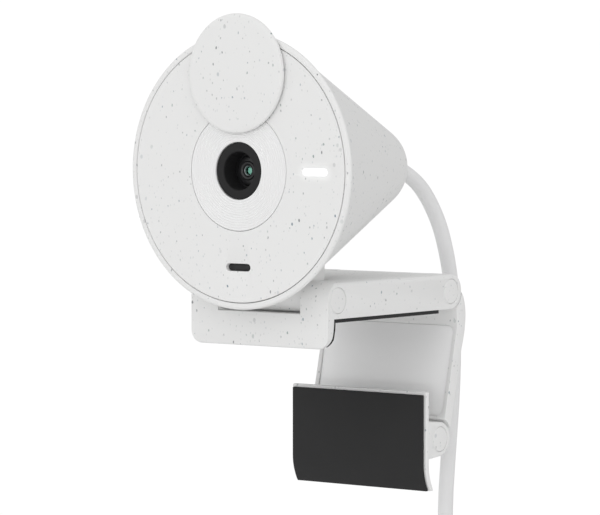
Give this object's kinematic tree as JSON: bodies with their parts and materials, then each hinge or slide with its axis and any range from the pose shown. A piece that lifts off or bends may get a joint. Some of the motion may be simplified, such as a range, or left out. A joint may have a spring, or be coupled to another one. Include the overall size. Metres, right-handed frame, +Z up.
{
  "type": "webcam on monitor clip",
  "caption": "Round cone-bodied webcam with a swinging lens cover, on a hinged clip that hooks over a monitor, with its cord coiled and tied.",
  "frame": {"origin": "middle of the rubber face under the clip's top plate, where the monitor's top edge bears", "axes": "+Z up, -Y the way the camera looks, +X to the right as a viewer facing the lens sees it"},
  "size_m": [0.0518, 0.0802, 0.194],
  "materials": {
    "speckled_white_plastic": "fine matte texture with small grey and blue-green specks",
    "plain_white_plastic": "fine matte, no specks",
    "black_plastic": "fine matte",
    "black_rubber": "dull",
    "steel": "plain bright",
    "lens_glass": "coated, faint green glint",
    "circuit_board": "solder mask",
    "light_pipe": "clear white, lit",
    "cord_sheath": "smooth matte"
  },
  "bodies": {
    "clip": {"clip_body": "speckled_white_plastic", "clip_rubber_liner": "black_rubber", "front_hinge_pin": "steel", "front_pin_cap_right": "speckled_white_plastic", "front_pin_cap_left": "speckled_white_plastic", "rear_hinge_pin": "steel", "rear_pin_cap_right": "speckled_white_plastic", "rear_pin_cap_left": "speckled_white_plastic", "cord_bend": "cord_sheath", "cord_drop": "cord_sheath", "cord_lead_in": "cord_sheath", "cord_coil": "cord_sheath", "coil_tie": "black_plastic", "cord_tail": "cord_sheath", "plug_strain_relief": "cord_sheath", "plug_body": "plain_white_plastic", "plug_shell": "steel", "plug_tongue": "black_plastic"},
    "head": {"rear_housing": "speckled_white_plastic", "face_plate": "speckled_white_plastic", "lens_surround_ring": "plain_white_plastic", "lens_bezel": "black_plastic", "lens_barrel": "black_plastic", "lens_glass": "lens_glass", "image_sensor": "circuit_board", "sensor_board": "circuit_board", "main_board": "circuit_board", "shield_can": "steel", "cord_connector": "circuit_board", "board_screw_right": "steel", "board_screw_left": "steel", "microphone_mesh": "steel", "microphone_capsule": "steel", "status_light_pipe": "light_pipe", "status_led": "circuit_board", "strain_relief": "cord_sheath", "shutter_pivot_pin": "steel", "shutter_retaining_washer": "steel", "neck": "speckled_white_plastic", "friction_washer_right": "steel", "friction_washer_left": "steel"},
    "shutter": {"privacy_shutter": "speckled_white_plastic"},
    "rear_arm": {"rear_arm": "speckled_white_plastic", "arm_inner_cover": "plain_white_plastic"},
    "foot": {"foot_plate": "speckled_white_plastic", "foot_rubber_pad": "black_rubber", "foot_hinge_pin": "steel", "foot_pin_cap_right": "speckled_white_plastic", "foot_pin_cap_left": "speckled_white_plastic"}
  },
  "joints": [
    {"name": "head_tilt", "type": "hinge", "parent": "clip", "child": "head", "pos_m": [0, -0.0156, 0.0041], "axis": [1, 0, 0], "range_deg": [-9, 15], "deforming": ["cord_bend"]},
    {"name": "shutter_swing", "type": "hinge", "parent": "head", "child": "shutter", "pos_m": [0, -0.025, 0.03728], "axis": [0, 1, 0], "range_deg": [0, 180]},
    {"name": "arm_swing", "type": "hinge", "parent": "clip", "child": "rear_arm", "pos_m": [0, 0.0213, 0.0041], "axis": [1, 0, 0], "range_deg": [-48, 30]},
    {"name": "foot_swing", "type": "hinge", "parent": "rear_arm", "child": "foot", "pos_m": [0, 0.01765, -0.0245], "axis": [1, 0, 0], "range_deg": [-30, 40]}
  ]
}
